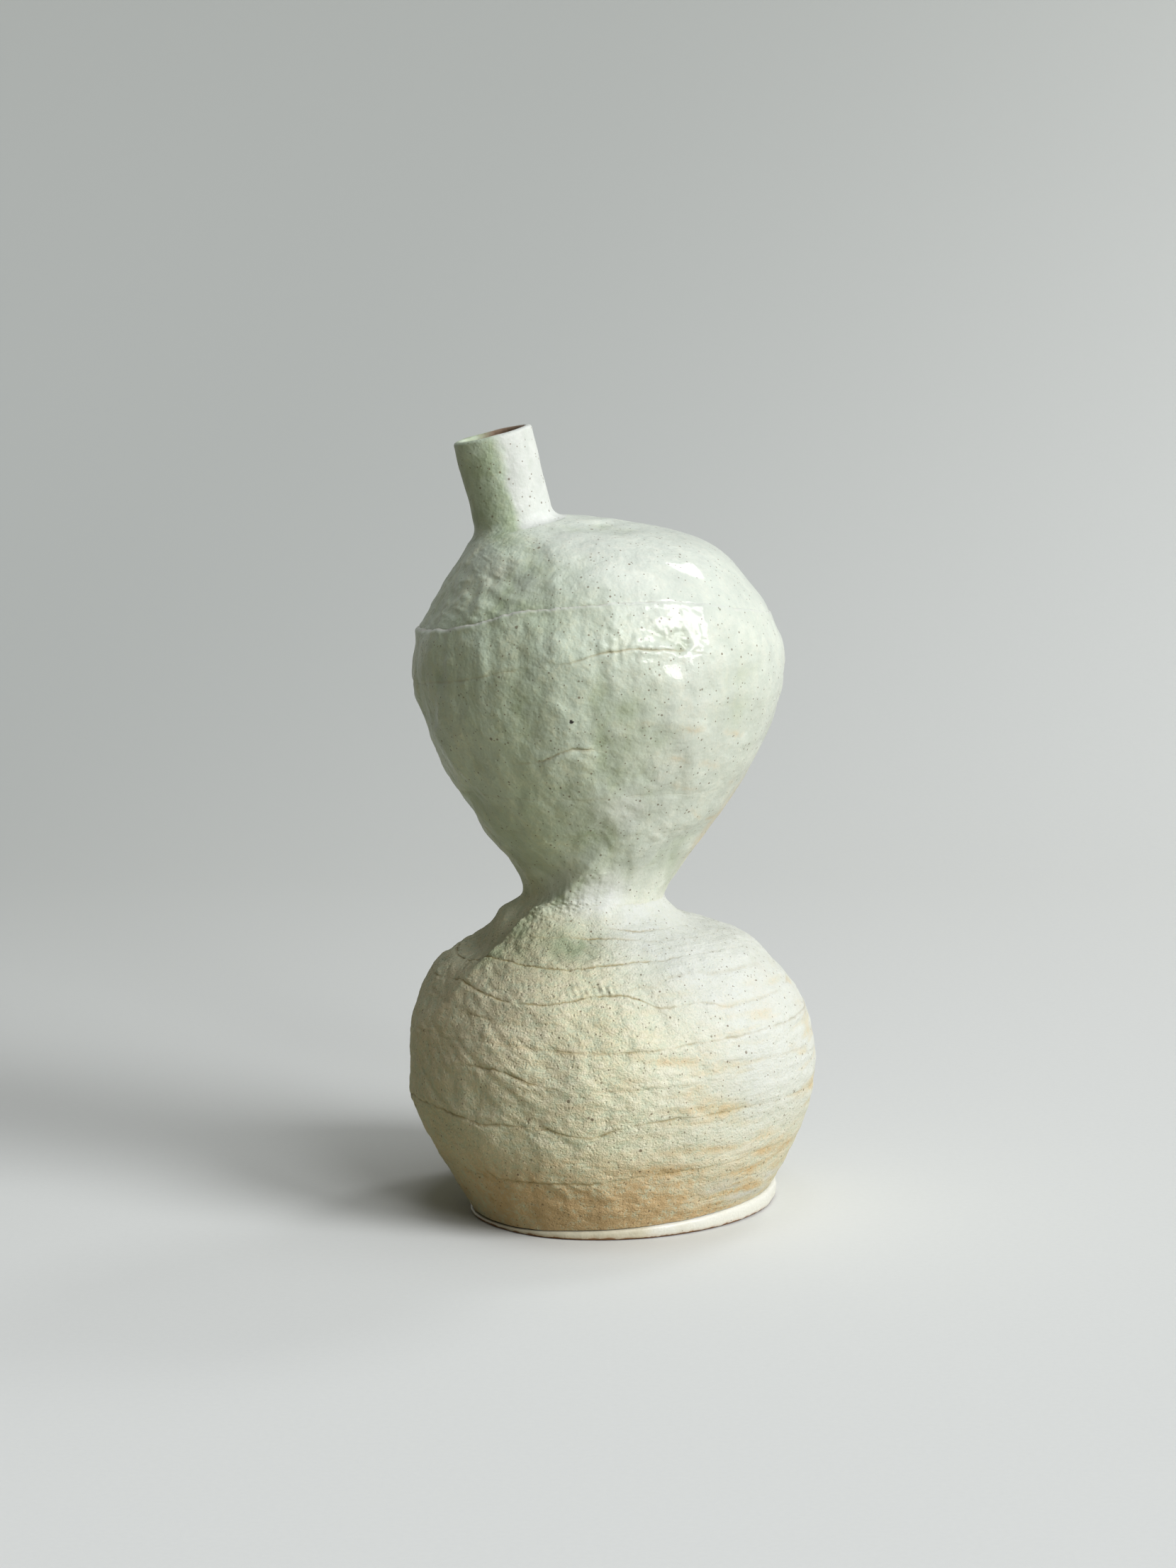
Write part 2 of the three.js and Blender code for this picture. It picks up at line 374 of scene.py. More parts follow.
# The wall's outline as radius, shift of the ring along X, and height, by distance up the clay
foot_start = np.array([FOOT_RADIUS, 0.0, FOOT_THICKNESS])
lower_widest = np.array([LOWER_RADIUS, LOWER_SHIFT, LOWER_HEIGHT])
waist = np.array([WAIST_RADIUS, WAIST_SHIFT, WAIST_HEIGHT])
upper_widest = np.array([UPPER_RADIUS, UPPER_SHIFT, UPPER_HEIGHT])
steps = np.linspace(0, 1, 500)
foot_rise = np.array([10.0, 0.0, 18.0])
lower_curve = np.concatenate([
    bezier([foot_start, foot_start + foot_rise, lower_widest - (0, 0, 20), lower_widest], steps),
    bezier([lower_widest, lower_widest + (0, 0, 59), waist - (0, 0, 9), waist], steps)[1:]])
upper_curve = bezier([waist, waist + (0, 0, 10), upper_widest - (0, 0, 46), upper_widest], steps)[1:]
below_foot = foot_start - foot_rise / np.linalg.norm(foot_rise) * BELOW_FOOT
outline = np.concatenate([[below_foot], lower_curve, upper_curve])
outline_at = lengths(outline) - BELOW_FOOT
lower_length = lengths(lower_curve)[-1]
outline_length = outline_at[-1]
table_along = np.arange(TABLE_START, outline_length, TABLE_STEP)
outline_radius, outline_shift, outline_height = (
    np.interp(table_along, outline_at, part)[:, None] for part in outline.T)
wall = oval_ring(outline_radius, outline_shift, outline_height + 0 * column_angle,
                 column_angle + 0 * outline_height)
# Clay smeared over the waist fills its hollow at the front and left: distance up the clay, degrees
# round, their spreads, and how far it was smeared
SMEAR_MIDDLE, SMEAR_TURN, SMEAR_TALL, SMEAR_WIDE, SMEAR_REACH = 164, -112, 30, 80, 12.0
smear_rows = np.arange(-60, 61)
smear = np.exp(-(smear_rows * TABLE_STEP / SMEAR_REACH) ** 2 / 2)
smeared = sum(share * wall[np.clip(np.arange(len(wall)) + row, 0, len(wall) - 1)]
              for row, share in zip(smear_rows, smear / smear.sum()))
smear_share = (hump(table_along - SMEAR_MIDDLE, SMEAR_TALL, 4)[:, None]
               * facing(column_angle, SMEAR_TURN, SMEAR_WIDE))
wall = wall + (smeared - wall) * smear_share[:, :, None]


def facing_out(table):
    up = np.gradient(table, axis=0)
    round_it = np.roll(table, -1, axis=1) - np.roll(table, 1, axis=1)
    out = np.cross(round_it, up)
    return out / np.linalg.norm(out, axis=2, keepdims=True)


wall_out = facing_out(wall)


def on_wall(along, column):
    """Point of the outer face, and its outward direction, at a distance up the clay."""
    row = np.clip((along - TABLE_START) / TABLE_STEP, 0, len(wall) - 1.001)
    low = row.astype(int)
    share = (row - low)[:, None]
    point = wall[low, column] * (1 - share) + wall[low + 1, column] * share
    out = wall_out[low, column] * (1 - share) + wall_out[low + 1, column] * share
    return point, out / np.linalg.norm(out, axis=1, keepdims=True)


# Where each seam wanders from the even line of the coils, in degrees round the vase and millimetres
SEAM_WANDER = {
    0: [(-180, -5.6), (-128, -4.9), (-116, -4.1), (-103, -3.0), (-90, -2.1), (-70, -1.2), (-56, -0.4),
        (-40, 0.5), (-12, 1.0), (30, 0.6), (90, 0), (140, -2.2)],
    1: [(-180, 0), (-130, -1), (-105, 0), (-94, 0), (-82, 2.3), (-68, 3.2), (-54, 4.7), (-38, 6.5),
        (-19, 7.5), (10, 6), (60, 2), (120, -1)],
    2: [(-165, 7), (-150, 7.5), (-140, 6.5), (-128, 3.5), (-118, 4.6), (-106, 3.6), (-98, 0.9), (-92, 0.2),
        (-86, 4.8), (-74, 6.9), (-62, 7.2), (-42, 7.6), (-20, 7.6), (30, 5), (90, 1), (150, 4)],
    3: [(-170, 2), (-137, 7), (-128, 8), (-122, 7.4), (-116, 4.6), (-110, 1.2), (-100, -1), (-60, 0.5),
        (-20, 1.5), (60, -1), (120, 1)],
    4: [(-170, -2), (-120, -1.5), (-90, -4.6), (-75, -4.5), (-66, -2.6), (-52, -2.1), (-25, -1),
        (40, 1.5), (110, -1)],
    5: [(-172, 4), (-148, 7), (-130, 1), (-119, -1.7), (-108, -1.8), (-100, 0.8), (-95, 4.1), (-82, 3.2),
        (-77, 0), (-72, -3.8), (-66, -4), (-59, -2.6), (-50, -6.4), (-40, -6.6), (-15, -5), (40, 0), (120, 2)],
    6: [(-175, 1), (-141, 3.5), (-130, 2.9), (-120, 1.3), (-105, 0.6), (-94, 2.2), (-77, 4.8), (-60, 6.5),
        (-40, 5), (0, 2), (60, -1), (130, 0)],
    7: [(-150, -1), (-120, 2), (-103, 5.2), (-88, 5.2), (-60, 3), (0, 0), (90, 1)],
    8: [(-103, -0.5), (-70, -3.4), (-40, -2), (30, 0), (120, 0)],
}
# How deep each seam is still open there
SEAM_DEPTH = {
    0: [(-150, 0.25), (-100, 0.3), (-30, 0.5), (60, 0.4)],
    1: [(-135, 0.1), (-105, 0.5), (-94, 0.5), (-82, 0.3), (-19, 0.3), (60, 0.25)],
    2: [(-150, 0.45), (-128, 0.6), (-98, 0.5), (-90, 0.35), (-60, 0.4), (-20, 0.25), (60, 0.3)],
    3: [(-136, 0.05), (-128, 0.8), (-112, 0.6), (-104, 0.12), (-50, 0.12), (0, 0.2), (90, 0.25)],
    4: [(-120, 0.15), (-80, 0.3), (-52, 0.35), (-15, 0.5), (60, 0.2)],
    5: [(-160, 0.5), (-130, 0.7), (-110, 0.6), (-82, 0.6), (-70, 0.3), (-40, 0.3), (60, 0.3)],
    6: [(-141, 0.7), (-77, 0.55), (-60, 0.2), (0, 0.12), (90, 0.3)],
    7: [(-118, 0.12), (-103, 0.45), (-90, 0.4), (-70, 0.12)],
    8: [(-90, 0.1), (-78, 0.35), (-62, 0.3), (-50, 0.1), (90, 0.1)],
}
# How far the coil below stands proud of a seam, how far the coil above is tucked in behind it, and how
# much of the seam shows as a brown line
SEAM_STEP = {2: [(-140, 0.1), (-110, 0.25), (-90, 0), (60, 0)],
             4: [(-40, 0), (-8, 0.7), (20, 0.4), (60, 0)]}
SEAM_TUCK = {0: [(-130, 0), (-104, 0.2), (-80, 0.5), (-50, 1.1), (20, 1.2), (90, 0.5), (150, 0)]}
SEAM_STAIN = {0: 0.0}
# Ripples in the line of a seam: their size, seed and reach
SEAM_RIPPLES = [(14, 200, 0.5), (5, 230, 0.4), (2.2, 260, 0.3)]


def seam_line(index):
    """Distance up the clay of a seam, for each column."""
    if index <= LOWER_COILS:
        share = index / LOWER_COILS
        middle = lower_length * share * (1 + COIL_TAPER * (1 - share))
        lean = LOWER_LEAN * math.sin(math.pi * share)
    else:
        share = (index - LOWER_COILS) / UPPER_COILS
        middle = lower_length + (outline_length - lower_length + SHOULDER_RISE) * share
        lean = UPPER_LEAN * share
    ring = ringed(column_angle, 80, 0)
    ripple = sum(lumpy(ring, size, seed + index) * reach for size, seed, reach in SEAM_RIPPLES)
    wander = round_the_vase(SEAM_WANDER.get(index, [(0, 0)]), column_angle)
    return middle + lean * np.cos(column_angle + LEAN_TURN) + wander + ripple * (index > 0)


def seam_edge(index, distance, column, point, below):
    """How the clay rolls in at a seam, and the line that the seam leaves in the glaze."""
    angle = column_angle[column]
    distance = np.maximum(distance, 0)
    rough = 0.75 * lumpy(point, 9, 300 + index) + 0.55 * lumpy(point, 3.4, 330 + index)
    torn = np.clip(0.75 + rough, 0.04, 1.4) * 0.7
    depth = round_the_vase(SEAM_DEPTH.get(index, [(0, 0.05)]), angle) * torn
    roll = depth * (0.36 * hump(distance - 1.9, 1.1) - hump(distance, 0.55, 1.3))
    if below:
        roll = roll + round_the_vase(SEAM_STEP.get(index, [(0, 0)]), angle) * hump(distance, 2.6, 1.5)
    else:
        roll = roll - round_the_vase(SEAM_TUCK.get(index, [(0, 0)]), angle) * hump(distance, 4.2)
    # The brown line of a seam fades towards the lit right: painted light over the real stain.
    stain_less_where_lit = SEAM_STAIN.get(index, 1.0) * (1 - 0.6 * facing(angle, -10, 50))
    line = held(depth / 0.36) * hump(distance, 0.34 + 0.36 * torn) * stain_less_where_lit
    return roll, line


def bulb_lumps(point, along):
    """The unevenness of hand-laid clay all over both bulbs."""
    coarse = held((205 - along) / 70)
    bent = point + 4 * np.stack([lumpy(point, 15, seed) for seed in (14, 15, 16)], axis=1)
    calm = 1 - 0.42 * facing(np.arctan2(point[:, 1], point[:, 0]), -12, 52)
    return lumpy(point, 46, 11) * 0.85 + calm * (
        lumpy(bent, 21, 12) * (1.6 - 0.6 * coarse) + lumpy(bent, 9, 13) * (0.62 - 0.2 * coarse)
        + lumpy(bent, 4.4, 17) * (0.13 + 0.13 * coarse) + lumpy(point, 2.4, 18) * 0.09 * coarse)


# Pushes of the hand: distance up the clay, degrees round, millimetres out, and their spread both ways
LOWER_PUSHES = [
    (151, 2, -4.4, 13, 44), (126, 3, 1, 10, 40), (200, 2, -1.8, 17, 34), (170, -64, -3.2, 17, 27),
    (187, 180, -1.4, 9, 30), (174, 180, -1.6, 8, 28), (153, -178, 1.8, 9, 28), (132, -178, -6.6, 13, 26),
    (66, 180, -2.2, 18, 34), (80, -104, -1.1, 9, 7), (118, -128, 0.9, 8, 12), (60, -125, -0.8, 9, 9),
    (38, -100, 0.8, 9, 9), (70, -90, 0.7, 9, 8), (93, -112, -0.7, 7, 6), (20, -115, -0.6, 8, 8)]
# Line of the pinched ridge at the waist: distance up the clay and degrees round, how far it stands out
# there, and how wide the clay to its right is drawn out with it
PINCH_TURN = [
    (100, -147), (112, -145), (127, -141), (144, -136), (162, -127), (180, -105), (203, -84), (220, -76)]
PINCH_OUT = [
    (102, 0), (118, 1.4), (132, 3.2), (146, 5.3), (160, 6.8), (172, 5.6), (184, 3.3), (196, 1.5),
    (206, 0.5), (216, 0)]
PINCH_WIDE = [(105, 10), (130, 18), (146, 34), (160, 50), (178, 44), (200, 26), (216, 14)]


def pushed(along, angle, pushes):
    total = 0
    for at, turn, out, tall, wide in pushes:
        total = total + out * np.exp(-((along - at) / tall) ** 2 - (degrees_round(angle, turn) / wide) ** 2)
    return total


def pinched(along, angle, point):
    """The ridge that a thumb and finger drew down from the waist, with the hollow behind it."""
    proud = eased(PINCH_OUT, along, 6)
    reach = np.interp(along, table_along, outline_radius[:, 0])
    across = np.radians(degrees_round(angle, eased(PINCH_TURN, along, 6))) * reach
    drawn = held(1 - across / eased(PINCH_WIDE, along, 6)) ** 1.3
    ridge = proud * np.where(across > 0, drawn, hump(across, 5, 1.6))
    crumbs = (lumpy(point, 1.8, 21) + lumpy(point, 5, 22)) * hump(across - 4, 11)
    crest = held(proud / 4) * hump(across - 1, 6)
    return ridge + proud * (0.09 * crumbs - 0.55 * hump(across + 15, 10.5)), crest


# Lines of the scraper that lie off the seams: degrees round and distance up the clay, and their depth
SCRAPED_LINES = [
    ([(-84, 113.5), (-78, 117), (-73, 115.5), (-65, 121), (-56, 121.5), (-48, 119), (-16, 116.5)], 0.16),
    ([(-168, 103), (-145, 99.5), (-130, 97), (-120, 95)], 0.35), ([(-133, 30), (-126, 19)], 0.5),
    ([(-120, 63), (-104, 58), (-92, 60)], 0.15), ([(-121, 8), (-114, 0)], 0.4), ([(-60, 79), (-40, 76),
    (-15, 74)], 0.14)]
# Short upright cuts of a comb below the waist: middle distance up the clay, the angles between which they
# lie, their spacing, and the radius there
COMB_MIDDLE, COMB_FIRST, COMB_LAST, COMB_SPACING, COMB_RADIUS = 113.5, -125, -76, 3.1, 78


def stroked(along, angle, middle, spread, slope, seed):
    """Strokes of the scraper that slant across one side of the bulb."""
    off = degrees_round(angle, middle)
    run = np.radians(off) * LOWER_RADIUS
    place = np.stack([(run * math.cos(slope) - along * math.sin(slope)) * 0.15,
                      along * math.cos(slope) + run * math.sin(slope), 0 * along], axis=1)
    wide, fine = lumpy(place, 4.2, seed), lumpy(place, 2.0, seed + 1)
    return (wide - np.abs(wide) * 0.8 + fine * 0.4) * hump(off, spread, 4)


def scraped(along, angle, point):
    """Marks of the tools on the lower bulb: level bands, slanting strokes, and cuts of corner and comb."""
    level = ringed(angle, 15, along)
    bands = lumpy(level, 5.2, 31) + lumpy(level, 2.6, 32) * 0.45
    slant = (stroked(along, angle, -122, 60, math.radians(30), 34)
             + stroked(along, angle, 95, 75, math.radians(-24), 36))
    degrees = degrees_round(angle)
    cut = np.zeros_like(along)
    for places, depth in SCRAPED_LINES:
        first, last = places[0][0], places[-1][0]
        ends = held(np.minimum(degrees - first, last - degrees) / 3)
        away = along - eased(places, degrees, 1.5) - lumpy(point, 6, 33) * 0.6
        cut = np.maximum(cut, depth * ends * hump(away, 0.6))
    ends = held(np.minimum(degrees - COMB_FIRST, COMB_LAST - degrees) / 9)
    tooth = (np.radians(degrees) * COMB_RADIUS + along * 0.35) / COMB_SPACING + lumpy(point, 11, 38) * 0.5
    teeth = np.cos(2 * math.pi * tooth) * held(0.4 + lumpy(point, 9, 39))
    comb = teeth * ends * hump(along - COMB_MIDDLE - lumpy(point, 16, 37), 3.6, 4)
    fade = held((150 - along) / 22)
    right = 0.5 + 0.5 * np.cos(angle + math.radians(30))
    return (bands * (0.16 + 0.22 * right) + slant * 0.38 + comb * 0.5 - cut) * fade, cut * fade, bands


def coil_rows(count):
    """Rows up a coil's face, closer together at the seams."""
    share = np.linspace(0, 1, count)
    return share - 0.62 * np.sin(2 * math.pi * share) / (2 * math.pi)


def walled(name, outer, inner):
    """A ring with rows of its outer and inner face: mesh, share up it, column, and 0 outside or 1 inside."""
    mesh = spun(name, [(20.0, share) for share in outer] + [(10.0, share) for share in inner])
    radius, share, column = spun_places(mesh)
    return mesh, share, column, (20 - radius) / 10


def laid_coil(name, index, rows):
    """A coil between two seams: its mesh, the clay of its outer face, and its rolled and stained seams."""
    mesh, share, column, inside = walled(name, coil_rows(rows), (1, 0.66, 0.33, 0))
    low, high = seams[index][column], seams[index + 1][column]
    bottom = low + LAP * inside if index else low * (1 - inside)
    along = bottom + (high + LAP * inside - bottom) * share
    point, out = on_wall(along, column)
    low_roll, low_line = seam_edge(index, along - low, column, point, below=False)
    high_roll, high_line = seam_edge(index + 1, high - along, column, point, below=True)
    return mesh, along, column, inside, point, out, low_roll + high_roll, np.maximum(low_line, high_line)


def walled_shape(point, out, inside, push, relief):
    """The outer face with its relief, and the inner face a wall's thickness behind it."""
    return point + out * np.where(inside > 0.5, np.minimum(push, 0) - WALL, relief)[:, None]


seams = [seam_line(index) for index in range(LOWER_COILS + 1)]
SANDY_WHITE = tone(204, 208, 204)
SANDY_PALE = tone(223, 225, 209)
SANDY_GREEN = tone(206, 212, 186)
SANDY_BEIGE = tone(216, 209, 175)
TOAST_AND_SHADE_TAN = tone(200, 175, 134)
TOAST_DARK = tone(160, 128, 88)
CELADON = tone(197, 211, 193)
CELADON_PALE = tone(204, 207, 205)
CELADON_STRAW = tone(208, 212, 186)
POOL_AND_SHADE_GREEN = tone(148, 162, 132)
SEAM_BROWN = tone(152, 135, 90)
GRAIN_TAN = tone(188, 172, 130)
IRON = tone(94, 76, 50)
IRON_DARK = tone(30, 24, 16)
INNER_CLAY = tone(116, 82, 48)
# White glaze thick over the waist and the upper bulb's underside, partly painted light that brightens them,
# white swept up in streaks from the slab's edge, toast on the left, and pools of green, each given as a push
# is
WAIST_WHITE = [(172, -86, 1.0, 20, 30), (222, -79, 0.7, 22, 20)]
FOOT_WHITE = [(13, -36, 1.2, 12, 24)]
LOWER_TOAST = [(134, -134, 0.35, 16, 24), (92, -142, 0.25, 40, 34), (20, -138, 0.3, 26, 30)]
LOWER_POOLS = [(140, -102, 1.0, 9, 12), (134, -134, 0.75, 16, 24)]
# The one large iron spot that came through the glaze
IRON_SPOT = (-21.4, -79.3, 228.9)


def vase_glaze():
    """One glaze over the whole wall: dry and sandy below the waist, a soft gloss above it."""
    material, shader, place = new_finish("celadon_over_stoneware")
    height = place.part(2)
    toast_and_shade, pool_and_shade, line, bare, thick_and_lit = (
        place.node("Attribute", {"attribute_name": mark}, output=2)
        for mark in ("toast_and_shade", "pool_and_shade", "line", "bare", "thick_and_lit"))
    tall = place.node("VectorMath", {"operation": "MULTIPLY"}, {0: place, 1: (1.0, 1.0, 0.4)})
    slant = place.node("Mapping", inputs={
        "Vector": place, "Rotation": (0, math.radians(38), 0), "Scale": (0.42, 0.5, 1.2)})

    cloud, streak, mottle = tall.noise(0.034, 5.0), tall.noise(0.11), place.noise(0.3)
    grain, stroke = place.noise(1.1, 3.0), slant.noise(0.34, 3.0)
    dry = 1 - (height + (mottle - 0.5) * 40).between(126, 164)

    straw = (streak * 0.3 + mottle * 0.5 + grain * 0.2).between(0.45, 0.62) * 0.6
    celadon = straw.blended(CELADON, CELADON_STRAW)
    celadon = celadon.mixed(cloud.between(0.48, 0.66) * 0.45, POOL_AND_SHADE_GREEN)
    beige = (stroke * 0.3 + mottle * 0.45 + grain * 0.25).between(0.42, 0.58)
    sandy = beige.blended(SANDY_GREEN, SANDY_BEIGE)
    sandy = sandy.mixed((cloud * 0.2 + mottle * 0.5 + grain * 0.3).between(0.45, 0.62) * 0.6, SANDY_PALE)
    colour = celadon.mixed(dry, sandy)
    # Pale glaze: real white glaze, and painted light where it pales the lit right of each piece.
    colour = colour.mixed((thick_and_lit * (0.75 + mottle * 0.5)).clipped(), dry.blended(CELADON_PALE, SANDY_WHITE))
    # Toasted tan, partly painted shade where it darkens the unlit left above the waist.
    toasted_and_shaded = (toast_and_shade * 1.5 * (mottle * 0.7 + grain * 0.6 + streak * 0.5).between(0.56, 1.08)).clipped()
    colour = colour.mixed(toasted_and_shaded, TOAST_AND_SHADE_TAN)
    scorched = (toast_and_shade - 0.5).clipped() * (mottle * 0.5 + grain * 0.5).between(0.4, 0.66) * 0.8
    colour = colour.mixed(scorched, TOAST_DARK)
    # Pooled green in hollows and runs, partly painted shade on the unlit left, under the spout and down its
    # left side.
    pooled_and_shaded = (pool_and_shade * (0.15 + streak.between(0.36, 0.62) * 0.7 + mottle * 0.7)).clipped() * 0.8
    colour = colour.mixed(pooled_and_shaded, POOL_AND_SHADE_GREEN)
    colour = colour.mixed((line * (0.38 + grain * 1.1)).clipped() * 0.8, SEAM_BROWN)
    colour = colour.mixed(grain.between(0.54, 0.7) * (0.05 + dry * 0.16), GRAIN_TAN)
    colour = colour.shaded(
        0.98 + (grain - 0.5) * (0.22 + dry * 0.42) * (1 - thick_and_lit * 0.7) + (mottle - 0.5) * 0.16
        + ((cloud - 0.5) * 0.35 + (streak - 0.5) * 0.3) * (1.1 - dry))
    specks = speckle(place, 4.3, 1.1, 2.4) * 0.75
    for spacing, size, rarity, share in ((11.0, 1.6, 3.5, 0.75), (2.6, 0.75, 1.6, 0.75)):
        specks = specks.math("MAXIMUM", specks, speckle(place, spacing, size, rarity) * share)
    colour = colour.mixed(specks * (0.55 + mottle * 0.7), IRON)
    spot = place.node("VectorMath", {"operation": "DISTANCE"}, {0: place, 1: IRON_SPOT}, 1)
    colour = colour.mixed(1 - (spot + (grain - 0.5) * 1.2).between(0.8, 1.25), IRON_DARK)
    colour = colour.mixed(bare, INNER_CLAY)

    rough = 0.44 + dry * 0.2 + mottle * 0.12 + bare * 0.2
    glossy = height.between(165, 215) * (1 - height.between(298, 310))
    coat = (0.02 + glossy * (0.22 + thick_and_lit * 0.26)) * (1 - bare)
    peel = place.noise(0.2, 2.0)
    pits = place.node("TexVoronoi", inputs={"Vector": place, "Scale": 0.36})
    pits = 1 - pits.between(0.05, 0.28)
    smooth = (peel * 0.7 + mottle * 0.4 + grain * 0.08) * (1 - dry) * (1.5 - thick_and_lit * 0.7)
    sand = (stroke * 1.1 + grain * 0.75 + mottle * 0.8 - pits * 0.4) * dry * (1 - thick_and_lit * 0.35)
    bump = place.node("Bump", inputs={"Strength": 0.7, "Distance": 0.0011, "Height": smooth + sand})
    colour.into(shader, "Base Color")
    rough.into(shader, "Roughness")
    coat.into(shader, "Coat Weight")
    bump.into(shader, "Normal")
    shader.inputs["Coat Roughness"].default_value = 0.085
    shader.inputs["Specular IOR Level"].default_value = 0.35
    return material


def lower_marks(along, angle, point, relief, line, bands):
    """How much toasted tan, pooled green and white glaze lie on each point of the lower bulb; the white is
    partly painted light, paler towards the lit right.
    """
    cloud = lumpy(point, 30, 41) * 0.5 + lumpy(point, 11, 42) * 0.35
    right = 0.5 + 0.5 * np.cos(angle + math.radians(20))
    front = facing(angle, -85, 34, 2)
    tan_bands = held(-bands - 0.05) * held((120 - along) / 40) * right
    toast_and_shade = (held((44 - along) / 40) * (0.36 + 0.9 * front + 0.5 * cloud) + tan_bands * 0.58
             + hump(along - 92, 34) * held(cloud - 0.1) * 0.2 + pushed(along, angle, LOWER_TOAST))
    pool_and_shade = held(-relief - 0.3) * 0.15 + pushed(along, angle, LOWER_POOLS)
    # Paler towards the right, where the light falls: painted light over the real white glaze.
    wide = 58 + held((along - 90) / 60) * 26
    thick_and_lit = held(0.5 + (wide - np.abs(degrees_round(angle, -8))) / 40) * held((along - 4) / 60) * 0.9
    thick_and_lit = np.maximum(thick_and_lit * (1 - 0.7 * tan_bands), pushed(along, angle, WAIST_WHITE))
    swept = pushed(along, angle, FOOT_WHITE) * held(0.5 + 1.1 * bands)
    return {"toast_and_shade": held(toast_and_shade * (1 - 0.65 * swept)), "pool_and_shade": held(pool_and_shade), "line": line,
            "thick_and_lit": np.maximum(thick_and_lit, swept)}


glaze = vase_glaze()
for coil in range(LOWER_COILS):
    name = f"lower_coil_{coil + 1}"
    mesh, along, column, inside, point, out, roll, line = laid_coil(name + "_glazed", coil, LOWER_ROWS)
    angle = column_angle[column]
    scrape, cut, bands = scraped(along, angle, point)
    lumps = bulb_lumps(point, along)
    push = pushed(along, angle, LOWER_PUSHES)
    pinch, crest = pinched(along, angle, point)
    relief = (push + lumps + scrape + pinch + roll) * np.clip((along + 6) / 14, 0.25, 1)
    shape = walled_shape(point, out, inside, push, relief)
    if coil == 0:
        shape[inside > 0.5, 2] = np.maximum(shape[inside > 0.5, 2], FOOT_THICKNESS)
    marks = lower_marks(along, angle, point, lumps + scrape, np.maximum(line, cut * 1.8), bands)
    marks["pool_and_shade"] = held(marks["pool_and_shade"] + crest * 0.5)
    marks["bare"] = (inside > 0.5) * 1.0
    finished(mesh, shape, marks, glaze, name)


# Upper bulb: seven coils of the same clay, smoothed wet, so that their seams show as fine cracks and
# soft flutes where fingers pressed them up. The glaze is thicker here, a soft-gloss pale celadon.
SPOUT_RADIUS = 17.5
SPOUT_FLARE = 0.8
SPOUT_LEAN = math.radians(14)
SPOUT_ROOT = np.array([-46.5, 0.0, 304.5])
SEAM_WANDER.update({
    13: [(-130, -3), (-110, -1.7), (-106, 2.5), (-100, 5.6), (-96, 4.9), (-85, 2), (-60, 0), (60, 1),
         (140, -2)],
    15: [(-175, -6), (-158, -6.4), (-138, -5.1), (-128, -3.5), (-118, -1.1), (-112, 0.8), (-101, 1.1),
         (-95, 1.8), (-89, 4.8), (-81, 5.6), (-70, 5.4), (-58, 3.4), (-48, -3), (-30, -5), (60, 0), (120, -2)],
    16: [(-168, -2.1), (-146, -2.9), (-131, -1), (-119, 3.5), (-106, 6.4), (-90, 7), (-74, 8), (-57, 7),
         (-36, 1.1), (-10, -3), (60, -2), (120, 0)],
})
SEAM_DEPTH.update({
    10: [(0, 0.05), (120, 0.12)], 11: [(0, 0.05), (100, 0.15)], 12: [(0, 0.06), (140, 0.14)],
    13: [(-120, 0.03), (-111, 0.7), (-96, 0.8), (-90, 0.03), (60, 0.15)],
    14: [(-90, 0.02), (90, 0.15)],
    15: [(-168, 0.3), (-125, 0.36), (-114, 0.22), (-107, 0), (-103, 0.15), (-98, 0.75), (-70, 0.95),
         (-62, 0.7), (-54, 0.08), (-30, 0.02), (60, 0.2)],
    16: [(-175, 0.8), (-120, 0.85), (-95, 0.6), (-60, 0.45), (-36, 0.3), (0, 0.1), (90, 0.25), (150, 0.4)],
})
SEAM_STEP.update({16: [(-180, 0.6), (-140, 0.95), (-110, 0.8), (-85, 0.3), (-40, 0.15), (90, 0.2), (140, 0.6)],
                  15: [(-105, 0), (-95, 0.25), (-60, 0.25), (-50, 0)]})
SEAM_TUCK[16] = [(-180, 0.5), (-135, 0.75), (-110, 0.6), (-85, 0.25), (-40, 0.1), (90, 0.2), (140, 0.8)]
SEAM_STAIN.update({13: 0.7, 15: 0.7, 16: 0.3})
SHOULDER = LOWER_COILS + UPPER_COILS
UPPER_ROWS = 28
seams += [seam_line(index) for index in range(LOWER_COILS + 1, SHOULDER + 1)]


def spout_point(radius, along, angle):
    x, y = radius * np.cos(angle), radius * np.sin(angle)
    return np.stack([x * math.cos(SPOUT_LEAN) - along * math.sin(SPOUT_LEAN) + SPOUT_ROOT[0], y + 0 * along,
                     x * math.sin(SPOUT_LEAN) + along * math.cos(SPOUT_LEAN) + SPOUT_ROOT[2]], axis=-1)


def crown_line(angle):
    """The four points of the curve up the crown, from the widest place to the root of the spout."""
    start = oval_ring(np.float64(UPPER_RADIUS), UPPER_SHIFT, np.float64(UPPER_HEIGHT), angle)
    end = spout_point(SPOUT_RADIUS + SPOUT_FLARE, 0.0, angle)
    inward = np.hypot(*(end - start)[:, :2].T)[:, None]
    turn = np.cos(angle)[:, None]
    outward = ringed(angle, 1, -0.05)
    return [start, start + inward * (0.43 - 0.16 * turn) * (0, 0, 1),
            end + inward * (0.45 + 0.41 * turn) * outward, end]


